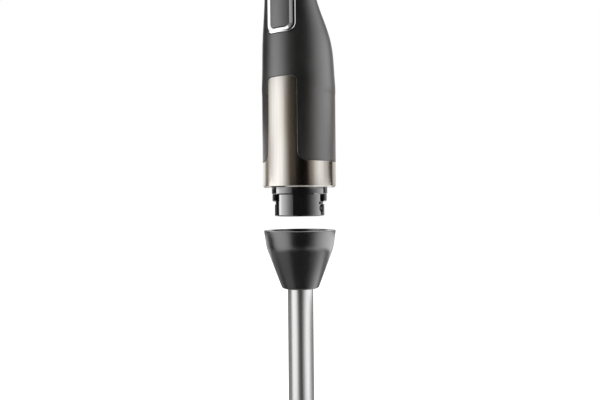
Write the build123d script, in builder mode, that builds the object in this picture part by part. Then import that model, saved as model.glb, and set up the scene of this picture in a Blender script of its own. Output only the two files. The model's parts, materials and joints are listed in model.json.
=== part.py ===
"""An immersion blender in its separate pieces, with the blending shaft drawn off below the handle.

Millimetres, +Z up along the motor axis, buttons facing -Y. The origin is on the motor axis at the
middle of the grip. Heights are measured up from the seat, the plane at the lower end of the handle
that the shaft's collar closes against. Depths are measured down from the collar's rim.
"""

import os

from build123d import *

# Clearances
running = 0.03  # between a turning shaft and its bearing, on the radius
fit = 0.1  # between pieces that are pressed or glued together
slack = 0.3  # between pieces that slide past each other

# Handle shell
grip_height = 185.0  # from the seat up to the origin
barrel_radius = 31.5
barrel_height = 78.0  # above this the round barrel narrows into the grip
shell_wall = 3.5
section_pitch = 17.0
grip_sections = [  # half depth and half width at every pitch, behind a straight front line
    (31.2, 31.2),
    (30.4, 30.5),
    (27.5, 28.7),
    (21.9, 25.1),
    (17.3, 22.2),
    (16.2, 21.2),
    (16.6, 21.5),
    (17.8, 22.3),
]
vent_count = 7
vent_width = 2.2
vent_length = 26.0
vent_pitch = 4.6
vent_height = 50.0

# Metal sleeve
band_height = 21.5
tongue_height = 90.8
tongue_width = 28.4
tongue_corner = 5.0
panel_corner = 7.5  # round corner where the soft shell meets band and tongue
sleeve_thickness = 1.2
sleeve_seam = 0.4  # dark line between the sleeve and the soft shell
band_bevel = 1.0
sleeve_edge = 0.3  # rounding along the tongue and the top of the band

# Buttons and their bezel
face_radius = 28.5  # round front of the grip under the thumb
bezel_bottom = 126.3
bezel_length = 74.0
bezel_width = 26.8
bezel_limb = 3.1
bezel_foot = 4.4  # the lower limb is wider
bezel_corner = 5.8
bezel_rise = 1.0
bezel_round = 0.9
bezel_depth = 3.0
opening_corner = 4.0
button_gap = 0.35
button_rise = 0.3
button_wall = 1.8
button_travel = 3.0
button_meeting_corner = 1.0
flange_reach = 1.2
flange_thickness = 1.2
stem_width = 6.0
stem_height = 8.0

# Switches and their board
board_setback = 16.6  # behind the front line
board_width = 34.6
board_bottom = 134.0
board_length = 70.0
board_thickness = 1.6
switch_width = 6.4
switch_length = 12.8
switch_depth = 5.8
button_spring_radius = 2.2
button_spring_wire = 0.5
button_spring_offset = 5.5  # from the middle of the button
button_spring_length = 12.0

# Top cap, speed dial and cord gland
cap_height = 16.0
cap_round = 6.0
cap_roof = 4.0
cap_lip = 2.5
cap_lip_slack = 1.3
cap_lip_wall = 1.6
dial_radius = 11.0
dial_height = 8.0
dial_recess = 1.5
dial_ribs = 24
dial_rib_radius = 0.7
dial_stem_radius = 3.0
control_radius = 8.0
control_height = 8.0
gland_height = 6.4  # above the lower edge of the cap
gland_flange_radius = 5.6
gland_flange = 1.6
gland_neck_radius = 4.4
gland_collar = 1.0  # how far the flange stands out of the cap
gland_step = 0.6
gland_nose_length = 8.0
gland_nose_radius = 4.2
gland_bore_radius = 3.2

# Coupling between handle and shaft
spigot_length = 24.5
spigot_radius = 21.35
spigot_wall = 4.05
spigot_edge = 1.0
guide_radius = 24.05
guide_length = 6.2
guide_bevel = 1.0  # under the guide ring
guide_slack = 0.2  # round the guide ring in the collar's mouth
lug_radius = 23.55
lug_length = 5.9
lug_start = 0.0
lug_arc = 59.0
half_turn = 180.0  # lugs, slots and pegs come in opposite pairs
lug_bevel = 0.8
drive_well_radius = 11.0
drive_well_wall = 2.0
well_ribs = 6
well_rib = 1.6
well_rib_turn = 15.0
base_plate = 3.5
base_skirt_wall = 1.5
base_skirt = 6.0
snap_height = 6.0
snap_length = 2.0
snap_reach = 0.9
snap_arc = 20.0
snap_count = 4
boss_radius = 2.3
boss_rise = 0.4
boss_drop = 17.8  # below the seat
boss_groove = 1.3  # width and depth of the groove round the boss
lock_turn = 45.0
peg_angle = 39.0  # where the pegs enter, before the lock is turned
peg_arc = 10.0
peg_height = 1.6
peg_reach = 1.45  # into the spigot
peg_swing = 2.0  # room each side of a peg, in degrees
peg_slack = 0.2  # between the lugs and the pegs under them
drive_teeth = 8  # one tooth pitch is one turn of the lock
drive_core_radius = 4.7
drive_tip_radius = 6.1
drive_tooth = 1.7
drive_slack = 0.2
lead_in = 0.3  # round the teeth at the mouth of the drive socket
lead_in_length = 2.0
socket_radius = 8.0
socket_top = 3.0  # below the seat
socket_length = 16.0
shaft_end = 8.0  # lower end of the motor shaft, below the seat
socket_web = 1.5
dog_slack = 0.5  # between the dog's end and the web
dog_flange_height = 1.2
dog_roof = 3.0  # over the rod's end, with the slack above it

# Motor
motor_shaft_radius = 4.0
shaft_hole = 1.0  # room round the shaft in the base and the bracket
upper_journal_radius = 3.0
bearing_bottom = 12.0
bearing_radius = 11.0
bearing_length = 7.0
upper_bearing_radius = 9.5
upper_bearing_length = 6.0
bearing_wall = 2.5
bracket_bottom = 10.0
bracket_plate = 4.0
lower_mount_wall = 1.9
screw_radius = 1.5
screw_head_radius = 1.95
screw_head = 2.2
screw_count = 4
screw_bite = 6.0
post_radius = 3.2
arm_width = 16.0
arm_thickness = 3.4
fan_bottom = 21.0
fan_room = 10.0  # round the fan, for the air
fan_hub_radius = 7.0
fan_disc = 1.2
fan_height = 7.5
fan_blades = 9
fan_blade = 1.2
fan_blade_turn = 25.0
stack_bottom = 36.0
stack_length = 28.0
stator_room = 2.5  # between the stator and the shell
stator_flat_cut = 3.5
air_gap = 0.4
armature_radius = 13.1
armature_slots = 10
armature_slot = 2.4
armature_slot_depth = 5.0
coil_room = 0.8  # between the air gap and the coils
coil_thickness = 3.7
coil_shoulder = 10.5  # how far the coils stay inside the stator's sides
coil_band = 4.4
coil_overhang = 6.0
coil_corner = 4.0
winding_step = 1.1  # how far the windings stay inside the armature
winding_length = 5.5
commutator_bottom = 72.0
commutator_length = 12.0
commutator_radius = 8.0
commutator_bars = 20
commutator_slit = 0.5
holder_bottom = 74.0
holder_height = 6.0
holder_width = 7.0
holder_wall = 0.8
holder_start = 9.5
holder_setback = 2.0  # from the edge of the upper plate
brush_share = 0.61  # of the way from the commutator to the holder's end
brush_spring_wire = 0.5
upper_plate_bottom = 86.0
upper_plate = 4.0
upper_mount_wall = 2.8
mount_slack = 1.2

# Blending shaft
lift_gap = 12.2  # between the spigot's end and the collar's rim while the shaft is off
collar_height = 49.8
rim_radius = 31.1
rim_round = 0.4
collar_shoulder_radius = 29.0
collar_shoulder = 15.0
collar_foot_radius = 15.8
collar_foot_round = 2.0
socket_floor = 25.3
tower_radius = 9.8
tower_height = 4.5
bush_radius = 7.5
bush_length = 9.0
tube_radius = 11.1
tube_wall = 0.8
tube_top = 33.0
rod_radius = 3.0
clip_radius = 5.0
clip_thickness = 0.8

# Blade guard and blade
guard_neck = 8.0  # how far the guard's neck overlaps the tube
guard_wall = 1.6
guard_rim_radius = 33.5
guard_bell = 31.0  # height of the bell from the tube's end to its shoulder
guard_skirt = 10.0  # straight wall below the shoulder
guard_turn = 0.55  # share of the bell's slope where it turns from hollow to round
shaft_length = 201.0
guard_land = 5.3  # plain ring inside the rim, below the windows
guard_land_wall = 1.0
guard_web = 5.0
window_width = 20.0
window_height = 9.0
window_rise = 10.5  # from the rim up to the middle of the windows
lower_bush_radius = 6.5
lower_bush_length = 10.0
seal_length = 2.5
blade_rise = 4.5  # from the guard's shoulder up to the blade's hub
blade_hub_radius = 5.2
blade_hub = 4.0
blade_room = 7.3  # between the blade's tips and the guard
blade_thickness = 1.5
blade_pitch = 14.0
blade_sweep = 7.0
blade_root = 4.6  # half width at the hub
blade_belly = 6.4
blade_tip = 2.0
blade_back = 1.6
nut_width = 8.0
nut_height = 5.0
nut_roof = 1.0

# Places that follow from the sizes above
seat = -grip_height
rim = seat - spigot_length - lift_gap
grip_top = barrel_height + section_pitch * len(grip_sections)
cap_half_depth, cap_half_width = grip_sections[-1]
cap_middle = cap_half_depth - barrel_radius
cap_bottom = grip_top + slack
cap_cavity_inset = shell_wall + cap_lip_slack + cap_lip_wall
dial_floor = cap_bottom + cap_height - dial_recess
cavity_radius = barrel_radius - shell_wall
bracket_rim_radius = cavity_radius - fit - lower_mount_wall
upper_mount_radius = min(barrel_radius, *grip_sections[0]) - shell_wall - mount_slack
upper_plate_radius = upper_mount_radius - upper_mount_wall
holder_end = upper_plate_radius - holder_setback
fan_radius = cavity_radius - fan_room
stator_radius = cavity_radius - stator_room
stator_flat = stator_radius - stator_flat_cut
winding_radius = armature_radius - winding_step
coil_inner_face = armature_radius + air_gap + coil_room
coil_half_width = stator_radius - coil_shoulder
arm_place = stator_flat - arm_thickness / 2
screw_circle = (drive_well_radius + drive_well_wall + spigot_radius - spigot_wall) / 2
sleeve_bore = barrel_radius - sleeve_thickness
mouth_radius = guide_radius + guide_slack
collar_bore = spigot_radius + boss_rise + slack
mouth_depth = guide_length + fit
lug_bore = lug_radius + guide_slack
lug_bore_depth = guide_length + lug_length + fit
slot_top = guide_length + lug_length + peg_slack  # below the seat
opening_length = bezel_length - bezel_foot - bezel_limb
opening_width = bezel_width - 2 * bezel_limb
button_length = (opening_length - 3 * button_gap) / 2
button_width = opening_width - 2 * button_gap
button_inset = bezel_depth + button_gap + flange_thickness
turbo_bottom = bezel_bottom + bezel_foot + button_gap
power_bottom = turbo_bottom + button_length + button_gap
board_face = board_setback - board_thickness / 2 - barrel_radius
switch_face = board_face - switch_depth
stem_end = switch_face - button_travel - slack
rod_top = shaft_end + socket_web + dog_roof  # depth of the rod's end below the rim
guard_shoulder = shaft_length - guard_skirt
tube_bottom = guard_shoulder - guard_bell
window_depth = shaft_length - window_rise
blade_depth = guard_shoulder - blade_rise
blade_radius = guard_rim_radius - guard_wall - blade_room
rod_bottom = blade_depth + blade_hub + nut_height - nut_roof
stack_top = stack_bottom + stack_length
brush_width = holder_width - 2 * holder_wall - 2 * fit
brush_height = holder_height - 2 * holder_wall - 2 * fit
brush_face = commutator_radius + fit
brush_length = brush_share * (holder_end - brush_face)
floor_up = (Align.CENTER, Align.CENTER, Align.MIN)
roof_down = (Align.CENTER, Align.CENTER, Align.MAX)


def level(height):
    """The level plane at a height above the seat."""
    return Plane.XY.offset(seat + height)


def below_rim(depth):
    """The level plane at a depth below the collar's rim."""
    return Plane.XY.offset(rim - depth)


def front_line(x, height):
    """A point of the front view, by its height above the seat."""
    return (x, seat + height)


def grip_solid(inset):
    """The grip above the barrel, drawn in all round by the inset."""
    with BuildPart() as grip:
        with BuildSketch(level(barrel_height)):
            Circle(barrel_radius - inset)
        for place, (half_depth, half_width) in enumerate(grip_sections, start=1):
            with BuildSketch(level(barrel_height + place * section_pitch)):
                with Locations((0, half_depth - barrel_radius)):
                    Ellipse(half_width - inset, half_depth - inset)
        loft()
    return grip.part


def face_solid(inset):
    """The round front of the grip along the bezel, drawn in by the inset."""
    with BuildPart() as face:
        with BuildSketch(level(bezel_bottom - bezel_limb)):
            with Locations((0, face_radius - barrel_radius)):
                Circle(face_radius - inset)
        extrude(amount=bezel_length + 2 * bezel_limb)
    return face.part


def front_block(width, length, bottom, low_corner, high_corner):
    """A block in front of the board with a rounded rectangle as its front view."""
    with BuildPart() as block:
        with BuildSketch(Plane.XZ.offset(barrel_radius - board_setback)) as view:
            with Locations(front_line(0, bottom)):
                Rectangle(width, length, align=(Align.CENTER, Align.MIN))
            fillet(view.vertices().group_by(Axis.Y)[0], low_corner)
            fillet(view.vertices().group_by(Axis.Y)[-1], high_corner)
        extrude(amount=barrel_radius)
    return block.part


def sleeve_form(bore, outside, seam):
    """The band with its tongue up the front, grown by a seam on every free edge."""
    with BuildPart() as form:
        with BuildSketch(level(0)):
            Circle(outside)
            Circle(bore, mode=Mode.SUBTRACT)
        extrude(amount=tongue_height + seam)
        with BuildSketch(Plane.XZ) as view:
            with Locations(front_line(0, 0)):
                Rectangle(4 * outside, band_height + seam, align=(Align.CENTER, Align.MIN))
                Rectangle(
                    tongue_width + 2 * seam, tongue_height + seam, align=(Align.CENTER, Align.MIN)
                )
            fillet(view.vertices().group_by(Axis.Y)[-1], tongue_corner + seam)
            inner_corners = view.vertices().group_by(Axis.Y)[1].sort_by(Axis.X)[1:-1]
            fillet(inner_corners, panel_corner - seam)
        extrude(amount=2 * outside, both=True, mode=Mode.INTERSECT)
        with Locations((0, 0, seat + band_height + seam)):
            Box(4 * outside, 2 * outside, tongue_height,
                align=(Align.CENTER, Align.MIN, Align.MIN), mode=Mode.SUBTRACT)
    return form.part


def ring_sector(inner, outer, start, arc):
    """Draws a sector of a ring about the motor axis in the sketch at hand."""
    with BuildLine() as outline:
        far = CenterArc((0, 0), outer, start, arc)
        near = CenterArc((0, 0), inner, start, arc)
        Line(far @ 0, near @ 0)
        Line(far @ 1, near @ 1)
    make_face(outline.edges())


def spline_section(grow):
    """Draws the toothed section of the drive in the sketch at hand."""
    core = drive_core_radius + grow
    tip = drive_tip_radius + grow
    Circle(core)
    with PolarLocations(tip / 2, drive_teeth):
        Rectangle(tip, drive_tooth + 2 * grow)


def button_form(bottom, low_corner, high_corner):
    """A hollow button with side flanges behind the bezel and a stem that reaches for its switch."""
    cap = front_block(button_width, button_length, bottom, low_corner, high_corner)
    hollow = front_block(
        button_width - 2 * button_wall, button_length - 2 * button_wall,
        bottom + button_wall, button_meeting_corner, button_meeting_corner,
    )
    flange = front_block(
        button_width + 2 * flange_reach, button_length - 4 * button_wall,
        bottom + 2 * button_wall, button_meeting_corner, button_meeting_corner,
    )
    with BuildPart() as ledge:
        add(flange)
        add(face_solid(bezel_depth + button_gap), mode=Mode.INTERSECT)
    with BuildPart() as inside:
        add(hollow)
        add(face_solid(button_wall - button_rise), mode=Mode.INTERSECT)
    with BuildPart() as button:
        add(cap)
        add(face_solid(-button_rise), mode=Mode.INTERSECT)
        add(ledge.part)
        add(face_solid(button_inset), mode=Mode.SUBTRACT)
        add(inside.part, mode=Mode.SUBTRACT)
        middle = seat + bottom + button_length / 2
        with Locations((0, stem_end, middle)):
            Box(stem_width, barrel_radius - button_wall / 2 + stem_end, stem_height,
                align=(Align.CENTER, Align.MAX, Align.CENTER))
    return button.part


def button_spring(bottom):
    """The sleeve that a button's return spring fills, from the board to the button."""
    with BuildPart() as spring:
        with BuildSketch(Plane.XZ.offset(-board_face)):
            with Locations(front_line(button_spring_offset, bottom + button_length / 2)):
                Circle(button_spring_radius)
                Circle(button_spring_radius - button_spring_wire, mode=Mode.SUBTRACT)
        extrude(amount=button_spring_length)
    return spring.part


# Soft-touch shell, one moulding from the seat to the cap
with BuildPart() as main_housing:
    with BuildSketch(level(0)):
        Circle(barrel_radius)
    extrude(amount=barrel_height)
    add(grip_solid(0))
    with BuildSketch(level(0)):
        Circle(cavity_radius)
    extrude(amount=barrel_height, mode=Mode.SUBTRACT)
    add(grip_solid(shell_wall), mode=Mode.SUBTRACT)
    add(sleeve_form(sleeve_bore - fit, barrel_radius + sleeve_thickness, sleeve_seam), mode=Mode.SUBTRACT)
    bezel_seat = front_block(
        bezel_width + 2 * fit, bezel_length + 2 * fit, bezel_bottom - fit, bezel_corner, bezel_corner
    )
    add(bezel_seat, mode=Mode.SUBTRACT)
    with BuildSketch(level(snap_height - fit)):
        Circle(cavity_radius + snap_reach + fit)
    extrude(amount=snap_length + 2 * fit, mode=Mode.SUBTRACT)
    with BuildSketch(Plane.XZ):
        with Locations(front_line(0, vent_height)):
            with GridLocations(vent_pitch, 0, vent_count, 1):
                SlotOverall(vent_length, vent_width, rotation=90)
    extrude(amount=-2 * barrel_radius, mode=Mode.SUBTRACT)

# Brushed band and tongue around the lower end of the shell
with BuildPart() as metal_sleeve:
    add(sleeve_form(sleeve_bore, barrel_radius, 0))
    lower_edges = metal_sleeve.edges().filter_by(GeomType.CIRCLE).group_by(Axis.Z)[0]
    chamfer(lower_edges.sort_by(SortBy.RADIUS)[-1], band_bevel)
    outside = metal_sleeve.faces().filter_by(GeomType.CYLINDER).sort_by(Face.radius)[-1]
    fillet(outside.edges().sort_by(Axis.Z)[1:], sleeve_edge)

# Chrome frame around the two buttons
with BuildPart() as button_bezel:
    add(front_block(bezel_width, bezel_length, bezel_bottom, bezel_corner, bezel_corner))
    add(face_solid(-bezel_rise), mode=Mode.INTERSECT)
    add(face_solid(bezel_depth), mode=Mode.SUBTRACT)
    bezel_hole = front_block(
        opening_width, opening_length, bezel_bottom + bezel_foot, opening_corner, opening_corner
    )
    add(bezel_hole, mode=Mode.SUBTRACT)
    crown = button_bezel.faces().filter_by(GeomType.CYLINDER).sort_by(Axis.Y)[0]
    fillet(crown.edges(), bezel_round)

with BuildPart() as turbo_button:
    add(button_form(turbo_bottom, opening_corner - button_gap, button_meeting_corner))

with BuildPart() as power_button:
    add(button_form(power_bottom, button_meeting_corner, opening_corner - button_gap))


with BuildPart() as turbo_button_spring:
    add(button_spring(turbo_bottom))

with BuildPart() as power_button_spring:
    add(button_spring(power_bottom))

with BuildPart() as control_board:
    with Locations((0, board_face, seat + board_bottom)):
        Box(board_width, board_thickness, board_length, align=(Align.CENTER, Align.MIN, Align.MIN))

with BuildPart() as micro_switches:
    for button_bottom in (turbo_bottom, power_bottom):
        with Locations((0, board_face, seat + button_bottom + button_length / 2)):
            Box(switch_width, switch_depth, switch_length, align=(Align.CENTER, Align.MAX, Align.CENTER))

# Domed cap that closes the grip and carries the dial and the cord gland
with BuildPart() as top_cap:
    with BuildSketch(level(cap_bottom)):
        with Locations((0, cap_middle)):
            Ellipse(cap_half_width, cap_half_depth)
    extrude(amount=cap_height)
    fillet(top_cap.faces().sort_by(Axis.Z)[-1].edges(), cap_round)
    with BuildSketch(level(cap_bottom - cap_lip)):
        with Locations((0, cap_middle)):
            lip_inset = shell_wall + cap_lip_slack
            Ellipse(cap_half_width - lip_inset, cap_half_depth - lip_inset)
    extrude(amount=cap_lip)
    with BuildSketch(level(cap_bottom - cap_lip)):
        with Locations((0, cap_middle)):
            Ellipse(cap_half_width - cap_cavity_inset, cap_half_depth - cap_cavity_inset)
    extrude(amount=cap_lip + cap_height - cap_roof, mode=Mode.SUBTRACT)
    with BuildSketch(level(dial_floor)):
        with Locations((0, cap_middle)):
            Circle(dial_radius + slack)
    extrude(amount=dial_recess, mode=Mode.SUBTRACT)
    with BuildSketch(level(dial_floor)):
        with Locations((0, cap_middle)):
            Circle(dial_stem_radius + running)
    extrude(amount=-cap_roof, mode=Mode.SUBTRACT)
    with BuildSketch(Plane.XZ.offset(-cap_middle)):
        with Locations(front_line(0, cap_bottom + gland_height)):
            Circle(gland_neck_radius + fit)
    extrude(amount=-2 * cap_half_depth, mode=Mode.SUBTRACT)
    with BuildSketch(Plane.XZ.offset(gland_flange - cap_middle - cap_half_depth)):
        with Locations(front_line(0, cap_bottom + gland_height)):
            Circle(gland_flange_radius + fit)
    extrude(amount=-2 * cap_half_depth, mode=Mode.SUBTRACT)

# Ribbed speed dial with its stem down into the rotary control
with BuildPart() as speed_dial:
    with BuildSketch(level(dial_floor + slack)) as dial_outline:
        with Locations((0, cap_middle)):
            Circle(dial_radius)
            with PolarLocations(dial_radius, dial_ribs):
                Circle(dial_rib_radius, mode=Mode.SUBTRACT)
    extrude(amount=dial_height)
    with BuildSketch(level(dial_floor + slack)):
        with Locations((0, cap_middle)):
            Circle(dial_stem_radius)
    extrude(amount=-(cap_roof - dial_recess + slack + control_height / 2))

with BuildPart(level(cap_bottom + cap_height - cap_roof)) as speed_control:
    with Locations((0, cap_middle)):
        Cylinder(control_radius, control_height, align=roof_down)
        Hole(dial_stem_radius + running)

gland_face = Plane(
    origin=(0, cap_middle + cap_half_depth - gland_flange, seat + cap_bottom + gland_height),
    x_dir=(1, 0, 0), z_dir=(0, 1, 0),
)
with BuildPart(gland_face) as cord_gland:
    Cylinder(gland_flange_radius, gland_flange + gland_collar, align=floor_up)
    with Locations((0, 0, gland_flange + gland_collar)):
        Cone(gland_flange_radius - gland_step, gland_nose_radius, gland_nose_length, align=floor_up)
    Cylinder(gland_neck_radius, cap_cavity_inset - gland_flange, align=roof_down)
    Hole(gland_bore_radius)

# Coupling base: plate, snap skirt, guide ring and hollow spigot
with BuildPart() as boss_pads:
    with BuildSketch(Plane.YZ):
        with Locations(front_line(0, -boss_drop)):
            Circle(boss_radius)
    extrude(amount=2 * spigot_radius, both=True)
    with BuildSketch(level(-spigot_length)):
        Circle(spigot_radius + boss_rise)
        Circle(spigot_radius - spigot_wall, mode=Mode.SUBTRACT)
    extrude(amount=spigot_length, mode=Mode.INTERSECT)

with BuildPart() as boss_grooves:
    with BuildSketch(Plane.YZ):
        with Locations(front_line(0, -boss_drop)):
            Circle(boss_radius + boss_groove)
            Circle(boss_radius, mode=Mode.SUBTRACT)
    extrude(amount=2 * spigot_radius, both=True)
    with BuildSketch(level(-spigot_length)):
        Circle(spigot_radius - boss_groove)
    extrude(amount=spigot_length, mode=Mode.SUBTRACT)

with BuildPart() as coupling_base:
    with BuildSketch(level(0)):
        Circle(cavity_radius - slack)
    extrude(amount=base_plate)
    with BuildSketch(level(base_plate)):
        Circle(cavity_radius - slack)
        Circle(cavity_radius - slack - base_skirt_wall, mode=Mode.SUBTRACT)
    extrude(amount=base_skirt)
    with BuildSketch(level(snap_height)):
        for place in range(snap_count):
            start = place * 360 / snap_count - snap_arc / 2
            skirt_bore = cavity_radius - slack - base_skirt_wall
            ring_sector(skirt_bore, cavity_radius + snap_reach - slack, start, snap_arc)
    extrude(amount=snap_length)
    with BuildSketch(level(-guide_length)):
        Circle(guide_radius)
    extrude(amount=guide_length)
    chamfer(coupling_base.faces().sort_by(Axis.Z)[0].edges(), guide_bevel)
    with BuildSketch(level(-spigot_length)):
        Circle(spigot_radius)
    extrude(amount=spigot_length)
    fillet(coupling_base.faces().sort_by(Axis.Z)[0].edges(), spigot_edge)
    with BuildSketch(level(-guide_length - lug_length)):
        for start in (lug_start, lug_start + half_turn):
            ring_sector(spigot_radius - spigot_wall / 2, lug_radius, start, lug_arc)
    extrude(amount=lug_length)
    lug_arcs = coupling_base.edges().filter_by(GeomType.CIRCLE)
    lug_arcs = lug_arcs.filter_by(lambda edge: abs(edge.radius - lug_radius) < fit)
    chamfer(lug_arcs.group_by(Axis.Z)[0], lug_bevel)
    with BuildSketch(level(-spigot_length)):
        Circle(spigot_radius - spigot_wall)
        Circle(drive_well_radius + drive_well_wall, mode=Mode.SUBTRACT)
        with PolarLocations((drive_well_radius + spigot_radius) / 2, well_ribs, start_angle=well_rib_turn):
            Rectangle(spigot_radius, well_rib, mode=Mode.SUBTRACT)
    extrude(amount=spigot_length, mode=Mode.SUBTRACT)
    with BuildSketch(level(-spigot_length)):
        Circle(drive_well_radius)
    extrude(amount=spigot_length, mode=Mode.SUBTRACT)
    with BuildSketch(level(0)):
        Circle(motor_shaft_radius + shaft_hole)
        with PolarLocations(screw_circle, screw_count):
            Circle(screw_radius + fit)
    extrude(amount=base_plate, mode=Mode.SUBTRACT)
    slot_floor = spigot_radius - peg_reach - slack
    slot_half = peg_arc / 2 + peg_swing
    with BuildSketch(level(-slot_top - peg_height - 2 * slack)):
        for entry in (peg_angle, peg_angle + half_turn):
            ring_sector(slot_floor, lug_radius, entry - lock_turn - slot_half, lock_turn + 2 * slot_half)
    extrude(amount=peg_height + 2 * slack, mode=Mode.SUBTRACT)
    with BuildSketch(level(-spigot_length)):
        for entry in (peg_angle, peg_angle + half_turn):
            ring_sector(slot_floor, lug_radius, entry - slot_half, 2 * slot_half)
    extrude(amount=spigot_length - slot_top, mode=Mode.SUBTRACT)
    add(boss_pads.part)
    add(boss_grooves.part, mode=Mode.SUBTRACT)

with BuildPart() as base_screws:
    for place in PolarLocations(screw_circle, screw_count):
        with Locations((place.position.X, place.position.Y, seat)):
            Cylinder(screw_head_radius, screw_head, align=roof_down)
            Cylinder(screw_radius, base_plate + screw_bite, align=floor_up)

# Motor carrier, bearings and rubber mounts
with BuildPart() as lower_bracket:
    with BuildSketch(level(bracket_bottom)):
        Circle(bracket_rim_radius)
    extrude(amount=bracket_plate)
    with BuildSketch(level(bracket_bottom)):
        Circle(bearing_radius + bearing_wall)
    extrude(amount=bearing_bottom + bearing_length - bracket_bottom)
    with BuildSketch(level(base_plate)):
        with PolarLocations(screw_circle, screw_count):
            Circle(post_radius)
    extrude(amount=bracket_bottom - base_plate)
    with BuildSketch(level(bracket_bottom)):
        with GridLocations(0, 2 * arm_place, 1, 2):
            Rectangle(arm_width, arm_thickness)
    extrude(amount=stack_bottom - bracket_bottom)
    with BuildSketch(level(bearing_bottom)):
        Circle(bearing_radius)
    extrude(amount=bearing_length, mode=Mode.SUBTRACT)
    with BuildSketch(level(base_plate)):
        Circle(motor_shaft_radius + shaft_hole)
        with PolarLocations(screw_circle, screw_count):
            Circle(screw_radius)
    extrude(amount=bearing_bottom - base_plate, mode=Mode.SUBTRACT)

with BuildPart() as lower_mount:
    with BuildSketch(level(bracket_bottom)):
        Circle(cavity_radius - fit)
        Circle(bracket_rim_radius, mode=Mode.SUBTRACT)
    extrude(amount=bracket_plate)

with BuildPart(level(bearing_bottom)) as lower_bearing:
    Cylinder(bearing_radius, bearing_length, align=floor_up)
    Hole(motor_shaft_radius + running)

upper_bearing_bottom = upper_plate_bottom + upper_plate
with BuildPart() as upper_bracket:
    with BuildSketch(level(upper_plate_bottom)):
        Circle(upper_plate_radius)
    extrude(amount=upper_plate)
    with BuildSketch(level(upper_plate_bottom)):
        Circle(upper_bearing_radius + bearing_wall)
    extrude(amount=upper_plate + upper_bearing_length)
    with BuildSketch(level(stack_top)):
        with GridLocations(0, 2 * arm_place, 1, 2):
            Rectangle(arm_width, arm_thickness)
    extrude(amount=upper_plate_bottom - stack_top)
    with BuildSketch(level(holder_bottom + holder_height)):
        with GridLocations(holder_start + holder_end, 0, 2, 1):
            Rectangle((holder_end - holder_start) / 2, holder_width)
    extrude(amount=upper_plate_bottom - holder_bottom - holder_height)
    with BuildSketch(level(upper_bearing_bottom)):
        Circle(upper_bearing_radius)
    extrude(amount=upper_bearing_length, mode=Mode.SUBTRACT)
    with BuildSketch(level(upper_plate_bottom)):
        Circle(motor_shaft_radius + slack)
    extrude(amount=upper_plate, mode=Mode.SUBTRACT)

with BuildPart() as upper_mount:
    with BuildSketch(level(upper_plate_bottom)):
        Circle(upper_mount_radius)
        Circle(upper_plate_radius, mode=Mode.SUBTRACT)
    extrude(amount=upper_plate)

with BuildPart(level(upper_bearing_bottom)) as upper_bearing:
    Cylinder(upper_bearing_radius, upper_bearing_length, align=floor_up)
    Hole(upper_journal_radius + running)

# Stator, field coils and brush gear
with BuildPart() as stator_core:
    with BuildSketch(level(stack_bottom)):
        Circle(stator_radius)
        Rectangle(2 * stator_radius, 2 * stator_flat, mode=Mode.INTERSECT)
        Circle(armature_radius + air_gap, mode=Mode.SUBTRACT)
        leg_middle = coil_half_width - coil_band / 2
        with GridLocations(2 * coil_inner_face + coil_thickness, 2 * leg_middle, 2, 2):
            Rectangle(coil_thickness + 2 * fit, coil_band + 2 * fit, mode=Mode.SUBTRACT)
    extrude(amount=stack_length)

with BuildPart() as field_coils:
    coil_height = stack_length + 2 * coil_overhang
    for coil_face in (coil_inner_face, -coil_inner_face - coil_thickness):
        with BuildSketch(Plane.YZ.offset(coil_face)):
            with Locations(front_line(0, stack_bottom + stack_length / 2)):
                RectangleRounded(2 * coil_half_width, coil_height, coil_corner)
                Rectangle(2 * (coil_half_width - coil_band), stack_length + 2 * fit, mode=Mode.SUBTRACT)
        extrude(amount=coil_thickness)

with BuildPart() as brush_holders:
    for side in (-1, 1):
        with BuildSketch(Plane.YZ.offset(side * holder_start)):
            with Locations(front_line(0, holder_bottom + holder_height / 2)):
                Rectangle(holder_width, holder_height)
                Rectangle(brush_width + 2 * fit, brush_height + 2 * fit, mode=Mode.SUBTRACT)
        extrude(amount=side * (holder_end - holder_start))

with BuildPart() as carbon_brushes:
    for side in (-1, 1):
        with BuildSketch(Plane.YZ.offset(side * brush_face)):
            with Locations(front_line(0, holder_bottom + holder_height / 2)):
                Rectangle(brush_width, brush_height)
        extrude(amount=side * brush_length)

with BuildPart() as brush_springs:
    for side in (-1, 1):
        with BuildSketch(Plane.YZ.offset(side * (brush_face + brush_length))):
            with Locations(front_line(0, holder_bottom + holder_height / 2)):
                Circle(brush_height / 2)
                Circle(brush_height / 2 - brush_spring_wire, mode=Mode.SUBTRACT)
        extrude(amount=side * (holder_end - brush_face - brush_length))

# Rotor
with BuildPart() as motor_shaft:
    with BuildSketch(level(-shaft_end)):
        Circle(motor_shaft_radius)
    extrude(amount=shaft_end + upper_bearing_bottom - slack)
    with BuildSketch(level(upper_bearing_bottom - slack)):
        Circle(upper_journal_radius)
    extrude(amount=upper_bearing_length + 2 * slack)

with BuildPart() as armature_core:
    with BuildSketch(level(stack_bottom)):
        Circle(armature_radius)
        Circle(motor_shaft_radius, mode=Mode.SUBTRACT)
        with PolarLocations(armature_radius - armature_slot_depth / 2 + armature_slot / 2, armature_slots):
            SlotOverall(armature_slot_depth + armature_slot, armature_slot, mode=Mode.SUBTRACT)
    extrude(amount=stack_length)

with BuildPart() as armature_windings:
    for bottom in (stack_bottom - winding_length, stack_top):
        with BuildSketch(level(bottom)):
            Circle(winding_radius)
            Circle(motor_shaft_radius, mode=Mode.SUBTRACT)
        extrude(amount=winding_length)

with BuildPart() as commutator:
    with BuildSketch(level(commutator_bottom)):
        Circle(commutator_radius)
        Circle(motor_shaft_radius, mode=Mode.SUBTRACT)
        with PolarLocations(commutator_radius, commutator_bars):
            Rectangle(2 * commutator_slit, commutator_slit, mode=Mode.SUBTRACT)
    extrude(amount=commutator_length)

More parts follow.
